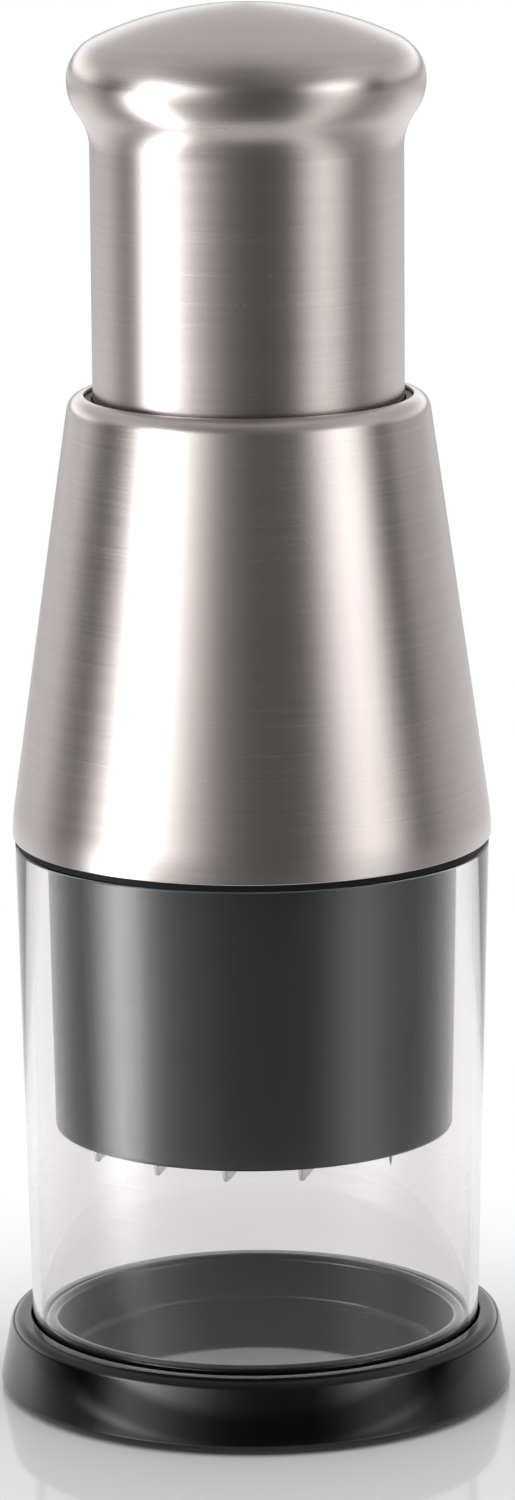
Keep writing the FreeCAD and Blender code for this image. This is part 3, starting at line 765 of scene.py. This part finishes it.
class BladeGuardOperator(bpy.types.Operator):
    """Turn the charcoal guard that hangs in the cup"""

    bl_idname = "chopper.blade_guard"
    bl_label = "Blade Guard"

    def execute(self, context):
        housing = context.scene.chopper_housing
        foot, crown = low("blade_guard"), high("blade_guard")
        lip_top = foot + housing.guard_lip
        under_flange = crown - housing.guard_flange
        mouth = guard_radius(housing, lip_top) - housing.guard_wall - housing.guard_lip_width
        section = rounded([
            (mouth, foot, housing.sheet_edge),
            (housing.guard_foot_radius, foot, housing.guard_edge),
            (guard_radius(housing, crown), crown),
            (housing.guard_bore, crown),
            (housing.guard_bore, under_flange),
            (guard_radius(housing, under_flange) - housing.guard_wall, under_flange),
            (guard_radius(housing, lip_top) - housing.guard_wall, lip_top),
            (mouth, lip_top, housing.sheet_edge),
        ])
        piece = turned("blade_guard_sleeve", section)
        finished(piece, "head", "blade_guard", "guard_charcoal")
        return {"FINISHED"}


class ConeShellOperator(bpy.types.Operator):
    """Turn the steel cone with its rolled mouth"""

    bl_idname = "chopper.cone_shell"
    bl_label = "Cone Shell"

    def execute(self, context):
        housing = context.scene.chopper_housing
        foot, crown = low("cone_shell"), high("cone_shell")
        slope = math.tan(housing.lean)

        def wall(inset):
            """The wall's lower and upper corners, drawn in by an inset."""
            lower = foot + housing.roll_height - inset * math.tan(housing.lean / 2)
            upper = crown - inset
            radius = housing.foot_radius - inset
            return (radius, lower), (radius - (upper - lower) * slope, upper)

        outer_low, outer_high = wall(0.0)
        inner_low, inner_high = wall(housing.sheet)
        section = rounded([
            (inner_low[0], foot, housing.sheet_edge),
            (outer_low[0], foot, housing.sheet_edge),
            (*outer_low, housing.roll_radius),
            (*outer_high, housing.mouth_roll),
            (housing.mouth_radius, crown, housing.sheet_edge),
            (housing.mouth_radius, inner_high[1], housing.sheet_edge),
            (*inner_high, housing.mouth_roll - housing.sheet),
            (*inner_low, housing.roll_radius - housing.sheet),
        ])
        piece = turned("cone_shell_steel", section)
        finished(piece, "head", "cone_shell", "brushed_steel")
        return {"FINISHED"}


class KnobShellOperator(bpy.types.Operator):
    """Turn the knob's steel cap: wall, flare, bead and dome"""

    bl_idname = "chopper.knob_shell"
    bl_label = "Knob Shell"

    def execute(self, context):
        knob = context.scene.chopper_knob
        foot, crown = low("knob_shell"), high("knob_shell")
        shoulder_reach = knob.bead_radius - knob.shoulder_radius
        drop = math.sqrt((knob.dome_radius - knob.shoulder_radius) ** 2 - shoulder_reach ** 2)
        bead = crown - knob.dome_radius + drop
        swell = knob.bead_radius - knob.radius
        lean = 2 * math.atan(swell / knob.flare_height)
        flare = knob.flare_height / (2 * math.sin(lean))
        meet = math.atan2(drop, shoulder_reach)

        def outline(inset):
            """The cap's section from its foot to the crown, drawn in by an inset."""
            hollow = Vector((knob.radius + flare, bead - knob.flare_height))
            swelling = Vector((knob.bead_radius - flare, bead))
            shoulder = Vector((shoulder_reach, bead))
            dome = Vector((0.0, bead - drop))
            points = arc(hollow, flare + inset, math.pi, math.pi - lean)
            points += arc(swelling, flare - inset, -lean, 0.0)[1:]
            points += arc(shoulder, knob.shoulder_radius - inset, 0.0, meet)[1:]
            points += arc(dome, knob.dome_radius - inset, meet, math.pi / 2)[1:]
            return points

        outer = outline(0.0)
        inner = outline(knob.sheet)
        foot_points = rounded([
            tuple(outer[0]),
            (knob.radius, foot, knob.foot_edge),
            (knob.radius - knob.sheet, foot, knob.foot_edge),
            tuple(inner[0]),
        ])
        section = outer[:0:-1] + foot_points + inner[1:]
        section[0].x = 0.0
        section[-1].x = 0.0
        piece = turned("knob_shell_steel", section)
        finished(piece, "plunger", "knob_shell", "brushed_steel")
        return {"FINISHED"}


class FoldedBladeOperator(bpy.types.Operator):
    """Fold the strip, notch and grind its lower edge, and give it its thickness"""

    bl_idname = "chopper.folded_blade"
    bl_label = "Folded Blade"

    def execute(self, context):
        blade = context.scene.chopper_blade
        tip, top = low("folded_blade"), high("folded_blade")
        reach = blade.radius - blade.inset
        pitch = 2 * reach / (blade.folds - 1)
        half = math.atan(pitch / 2 / blade.radius)
        outward = blade.bend * (1 / math.sin(half) - 1)
        corners = []
        for index in range(blade.folds):
            x = index * pitch - reach
            side = 1 if index % 2 == 0 else -1
            end = index in (0, blade.folds - 1)
            y = side * (math.sqrt(blade.radius ** 2 - x ** 2) + (0.0 if end else outward))
            if index:
                corners.append(((corners[-1][0] + x) / 2, (corners[-1][1] + y) / 2))
            corners.append((x, y) if end else (x, y, blade.bend))
        turn = Matrix.Rotation(blade.turn, 3, "Z")
        plan = [turn @ Vector((point[0], point[1], tip)) for point in rounded(corners)]
        piece = drawn("folded_blade_strip", plan)
        bpy.ops.mesh.select_all(action="SELECT")
        for rise in (blade.ground, top - tip - blade.ground):
            bpy.ops.mesh.extrude_region_move(TRANSFORM_OT_translate={"value": (0, 0, rise)})
        bpy.ops.object.mode_set(mode="OBJECT")
        self.notch(piece, blade, [turn @ Vector((*corner[:2], 0.0)) for corner in corners], tip)
        full = piece.vertex_groups.new(name="full thickness")
        full.add([v.index for v in piece.data.vertices if v.select], 1.0, "REPLACE")
        solid = piece.modifiers.new("thickness", "SOLIDIFY")
        solid.thickness = blade.thickness
        solid.offset = 0.0
        solid.use_even_offset = True
        solid.vertex_group = full.name
        solid.thickness_vertex_group = blade.keen
        bpy.ops.object.modifier_apply(modifier=solid.name)
        piece.vertex_groups.clear()
        bpy.ops.object.mode_set(mode="EDIT")
        tidy_surface()
        bpy.ops.object.shade_smooth_by_angle(angle=SMOOTH_ANGLE)
        finished(piece, "rotor", "folded_blade", "blade_steel")
        return {"FINISHED"}

    def notch(self, piece, blade, corners, tip):
        """Raises the lower edge between the folds, and leaves all above that edge selected."""
        middles = corners[1::2]
        for vertex in piece.data.vertices:
            vertex.select = vertex.co.z > tip + MERGE
            if vertex.co.z > tip + blade.ground + MERGE:
                continue
            flat = Vector((vertex.co.x, vertex.co.y, 0.0))
            near = min((flat - middle).length for middle in middles)
            if near < blade.bend:
                vertex.co.z += blade.notch


class ReturnSpringOperator(bpy.types.Operator):
    """Wind the return spring from a ring of wire"""

    bl_idname = "chopper.return_spring"
    bl_label = "Return Spring"

    wire_sides = 14
    turn_steps = 56

    def execute(self, context):
        knob = context.scene.chopper_knob
        foot, crown = low("return_spring"), high("return_spring")
        clear_selection()
        bpy.ops.mesh.primitive_circle_add(
            vertices=self.wire_sides, radius=knob.wire_radius,
            location=(knob.spring_radius, 0, foot + knob.wire_radius),
            rotation=(math.pi / 2, 0, 0),
        )
        piece = context.object
        piece.name = "return_spring_coil"
        piece.data.name = piece.name
        bpy.ops.object.transform_apply(location=True, rotation=True, scale=True)
        coil = piece.modifiers.new("coil", "SCREW")
        coil.axis = "Z"
        coil.iterations = knob.spring_turns
        coil.screw_offset = (crown - foot - 2 * knob.wire_radius) / knob.spring_turns
        coil.steps = self.turn_steps
        coil.render_steps = self.turn_steps
        bpy.ops.object.modifier_apply(modifier=coil.name)
        edit_all()
        bpy.ops.mesh.fill_holes(sides=0)
        tidy_surface()
        bpy.ops.object.shade_smooth_by_angle(angle=SMOOTH_ANGLE)
        finished(piece, "plunger", "return_spring", "spring_steel")
        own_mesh(piece)
        return {"FINISHED"}


class InnerPartsOperator(bpy.types.Operator):
    """Give the inner CAD parts their finishes"""

    bl_idname = "chopper.inner_parts"
    bl_label = "Inner Parts"

    def execute(self, context):
        for row in frame["record"]["subparts"]:
            node = NODES[row["node"]]
            if not node.hide_render:
                coat(node, row["material_slot"])
        return {"FINISHED"}


# ---- Stage ----
# Level of the studio round the chopper by azimuth in degrees, with the camera at nought.
# STUDIO_LOW holds below the horizon and STUDIO_HIGH above it.
STUDIO_LOW = (
    (-180, 0.50), (-150, 0.50), (-122, 0.52), (-108, 0.40), (-100, 0.34), (-91, 0.60),
    (-84, 2.00), (-78, 3.60), (-71, 5.00), (-62, 3.20), (-54, 1.30), (-44, 0.65), (-34, 0.42),
    (-26, 0.30), (-18, 0.20), (-10, 0.14), (0, 0.10), (12, 0.08), (28, 0.13), (36, 0.26),
    (46, 0.64), (56, 0.94), (64, 0.84), (72, 0.62), (82, 0.38), (92, 0.33), (120, 0.55),
    (147, 0.60), (180, 0.50),
)
STUDIO_HIGH = (
    (-180, 0.90), (-162, 1.05), (-150, 1.25), (-124, 1.15), (-108, 0.32), (-98, 0.06),
    (-86, 0.05), (-78, 0.40), (-72, 1.80), (-66, 4.00), (-59, 5.20), (-50, 4.30), (-42, 2.90),
    (-34, 1.70), (-26, 0.95), (-18, 0.42), (-10, 0.20), (0, 0.09), (12, 0.06), (26, 0.09),
    (34, 0.34), (42, 1.00), (50, 1.85), (60, 2.40), (70, 1.85), (79, 0.65), (87, 0.10),
    (94, 0.10), (106, 0.50), (160, 1.10), (180, 0.90),
)
# Level of its ceiling by the ray's Y, from the camera's side to the back.
CEILING = (
    (-1.0, 0.11), (-0.79, 0.14), (-0.41, 0.24), (0.0, 0.43), (0.37, 0.51), (0.68, 0.64),
    (0.83, 0.64), (1.0, 0.68),
)


class StageOperator(bpy.types.Operator):
    """Set up the floor, the studio light and the camera"""

    bl_idname = "chopper.stage"
    bl_label = "Stage"

    camera_place = (0.0, -1.070, 0.339)
    camera_pitch = 12.02
    camera_yaw = -0.056
    camera_roll = -0.43
    camera_lens = 154.7
    floor_radius = 0.5
    floor_middle = (0.0, -0.05, 0.0)
    floor_tones = (0.93, 0.95)
    # Where the floor turns white for the eye, and clear for mirrors, in metres.
    white_edge = (0.075, 0.17)
    clear_edge = (0.11, 0.19)
    # Name, place, size and power of each lamp.
    lights = (
        ("key", (-0.95, -0.85, 0.75), 0.8, 3.6),
        ("fill", (0.95, -0.75, 0.60), 0.8, 1.6),
        ("top", (0.0, 0.10, 1.30), 1.0, 3.3),
    )
    # The studio's levels, and the spans of the ray's Z (or Y, where named so) that part them.
    peak = 6.0
    rise_edge = (-0.12, 0.0)
    horizon = 0.025
    horizon_edge = (0.03, 0.06)
    horizon_level = 0.30
    upper_edge = (0.07, 0.13)
    upper_level = 1.4
    ceiling_edge = (0.14, 0.42)
    beside_edge_y = (-0.5, 0.5)
    beside_level = 1.2
    behind_edge = (-0.22, -0.14)
    behind_edge_y = (0.3, 0.7)
    behind_level = 1.0
    # What a ray finds after it stayed in the cup's wall, before and behind the chopper.
    wall_edge_y = (0.2, 0.6)
    wall_level = 0.80
    wall_back = 1.0
    # The even light on matt surfaces.
    fill = 0.55

    def execute(self, context):
        scene = context.scene
        scene.view_settings.view_transform = "Standard"
        self.floor()
        self.lamps()
        self.world(scene)
        aim = Euler((math.radians(90 - self.camera_pitch), 0, math.radians(self.camera_yaw)))
        aim = aim.to_matrix() @ Matrix.Rotation(math.radians(self.camera_roll), 3, "Z")
        bpy.ops.object.camera_add(location=self.camera_place, rotation=aim.to_euler())
        camera = context.object
        camera.name = "camera"
        camera.data.lens = self.camera_lens
        camera.data.clip_start = 0.01
        scene.camera = camera
        return {"FINISHED"}

    def floor(self):
        """A glossy pale board that fades to white away from the chopper."""
        clear_selection()
        bpy.ops.mesh.primitive_circle_add(vertices=96, radius=self.floor_radius,
                                          fill_type="TRIFAN", location=(0, 0, 0))
        board = bpy.context.object
        board.name = "floor"
        made, tree, output, place = new_material("Floor Board")
        grain = add(tree, "ShaderNodeTexNoise", {"Vector": place, "Scale": 14.0}).outputs[0]
        surface = add(tree, "ShaderNodeBsdfPrincipled", {
            "Base Color": blend(tree, grain, *[grey(tone) for tone in self.floor_tones]),
            "Roughness": 0.06, "IOR": 1.5,
        })
        white = add(tree, "ShaderNodeEmission", {"Color": grey(1.0), "Strength": 1.0})
        away = add(tree, "ShaderNodeVectorMath", {0: place}, operation="LENGTH").outputs["Value"]
        ahead = add(tree, "ShaderNodeVectorMath", {0: place, 1: self.floor_middle},
                    operation="DISTANCE").outputs["Value"]
        mix = add(tree, "ShaderNodeMixShader", {
            0: span(tree, ahead, *self.white_edge, *UNIT), 1: surface.outputs[0],
            2: white.outputs[0],
        })
        mirrored = add(tree, "ShaderNodeMixShader", {
            0: span(tree, away, *self.clear_edge, *UNIT), 1: surface.outputs[0],
            2: add(tree, "ShaderNodeBsdfTransparent").outputs[0],
        })
        choice = add(tree, "ShaderNodeMixShader", {
            0: add(tree, "ShaderNodeLightPath").outputs["Is Glossy Ray"],
            1: mix.outputs[0], 2: mirrored.outputs[0],
        })
        tree.links.new(choice.outputs[0], output.inputs[0])
        board.data.materials.append(made)

    def lamps(self):
        """Large soft lamps; metal mirrors the studio's world instead of them."""
        for name, place, size, power in self.lights:
            bpy.ops.object.light_add(type="AREA", location=place)
            lamp = bpy.context.object
            lamp.name = name
            lamp.data.size = size
            lamp.data.energy = power
            aim = Vector((0, 0, 0.1)) - Vector(place)
            lamp.rotation_euler = aim.to_track_quat("-Z", "Y").to_euler()
            lamp.visible_glossy = False
            lamp.visible_transmission = False

    def level(self, tree, place, stops):
        """A level that follows the stops along a place between nought and one."""
        ramp = add(tree, "ShaderNodeValToRGB", {0: place})
        while len(ramp.color_ramp.elements) < len(stops):
            ramp.color_ramp.elements.new(0.5)
        for element, (position, level) in zip(ramp.color_ramp.elements, stops):
            element.position = position
            element.color = grey(level / self.peak)
        return maths(tree, "MULTIPLY", ramp.outputs[0], self.peak)

    def studio(self, tree):
        """The level that a mirror finds in each direction: softboxes, horizon and ceiling."""
        ray = add(tree, "ShaderNodeTexCoord").outputs["Generated"]
        x, y, z = add(tree, "ShaderNodeSeparateXYZ", {0: ray}).outputs
        turn = maths(tree, "ARCTAN2", x, maths(tree, "MULTIPLY", y, -1.0))
        place = span(tree, turn, -math.pi, math.pi, *UNIT)
        under, over = [
            self.level(tree, place, [((degrees + 180) / 360, level) for degrees, level in stops])
            for stops in (STUDIO_LOW, STUDIO_HIGH)
        ]
        behind = maths(tree, "MULTIPLY", span(tree, z, *self.behind_edge, 1.0, 0.0),
                       span(tree, y, *self.behind_edge_y, *UNIT))
        under = between(tree, behind, under, self.behind_level)
        round_about = between(tree, span(tree, z, *self.rise_edge, *UNIT), under, over)
        off = maths(tree, "ABSOLUTE", maths(tree, "SUBTRACT", z, self.horizon))
        round_about = maths(tree, "MULTIPLY", round_about,
                            span(tree, off, *self.horizon_edge, self.horizon_level, 1.0))
        round_about = maths(tree, "MULTIPLY", round_about,
                            span(tree, z, *self.upper_edge, 1.0, self.upper_level))
        overhead = self.level(tree, span(tree, y, -1.0, 1.0, *UNIT), [
            ((reach + 1) / 2, level) for reach, level in CEILING
        ])
        beside = maths(tree, "MULTIPLY", maths(tree, "ABSOLUTE", x),
                       span(tree, y, *self.beside_edge_y, self.beside_level, 0.0))
        overhead = maths(tree, "MULTIPLY", overhead, maths(tree, "ADD", beside, 1.0))
        return between(tree, span(tree, z, *self.ceiling_edge, *UNIT), round_about, overhead)

    def world(self, scene):
        """White for the eye, a softbox studio for mirrors, an even fill for the rest."""
        world = bpy.data.worlds.new("studio")
        scene.world = world
        world.use_nodes = True
        tree = world.node_tree
        tree.nodes.clear()
        path = add(tree, "ShaderNodeLightPath").outputs
        mirrored = maths(tree, "GREATER_THAN", path["Glossy Depth"], 0.5)
        in_wall = maths(tree, "COMPARE", path["Transmission Depth"], 2.0)
        ray = add(tree, "ShaderNodeTexCoord").outputs["Generated"]
        back = add(tree, "ShaderNodeSeparateXYZ", {0: ray}).outputs[1]
        studio = self.studio(tree)
        studio = between(tree, in_wall, studio, between(
            tree, span(tree, back, *self.wall_edge_y, *UNIT),
            maths(tree, "MULTIPLY", studio, self.wall_level), self.wall_back,
        ))
        seen = between(tree, path["Is Diffuse Ray"], 1.0, self.fill)
        level = between(tree, maths(tree, "MULTIPLY", path["Is Glossy Ray"], mirrored),
                        seen, studio)
        light = add(tree, "ShaderNodeBackground", {"Color": grey(1.0), "Strength": level})
        add(tree, "ShaderNodeOutputWorld", {0: light.outputs[0]})


# ---- Panel and registration ----
PIECE_OPERATORS = (
    BaseCapOperator, FootRingOperator, ClearCupOperator, SealRingOperator, BladeGuardOperator,
    ConeShellOperator, KnobShellOperator, FoldedBladeOperator, ReturnSpringOperator,
    InnerPartsOperator, StageOperator,
)
SETTINGS = {
    "chopper_knob": ChopperKnob,
    "chopper_housing": ChopperHousing,
    "chopper_cup": ChopperCup,
    "chopper_blade": ChopperBlade,
    "chopper_colours": ChopperColours,
}


class ChopperPanel(bpy.types.Panel):
    """Lists the chopper's pieces"""

    bl_idname = "VIEW3D_PT_chopper"
    bl_label = "Plunger Food Chopper"
    bl_space_type = "VIEW_3D"
    bl_region_type = "UI"
    bl_category = "Chopper"

    def draw(self, context):
        for operator in PIECE_OPERATORS:
            self.layout.operator(operator.bl_idname)
        for name in SETTINGS:
            box = self.layout.box()
            settings = getattr(context.scene, name)
            for key in settings.__annotations__:
                box.prop(settings, key)


def register():
    for settings in SETTINGS.values():
        bpy.utils.register_class(settings)
    for name, settings in SETTINGS.items():
        setattr(bpy.types.Scene, name, bpy.props.PointerProperty(type=settings))
    for operator in PIECE_OPERATORS:
        bpy.utils.register_class(operator)
    bpy.utils.register_class(ChopperPanel)


def unregister():
    bpy.utils.unregister_class(ChopperPanel)
    for operator in reversed(PIECE_OPERATORS):
        bpy.utils.unregister_class(operator)
    for name in SETTINGS:
        delattr(bpy.types.Scene, name)
    for settings in SETTINGS.values():
        bpy.utils.unregister_class(settings)


def main():
    """Builds the chopper and its stage."""
    register()
    for operator in PIECE_OPERATORS:
        area, name = operator.bl_idname.split(".")
        getattr(getattr(bpy.ops, area), name)()


if __name__ == "__main__":
    main()
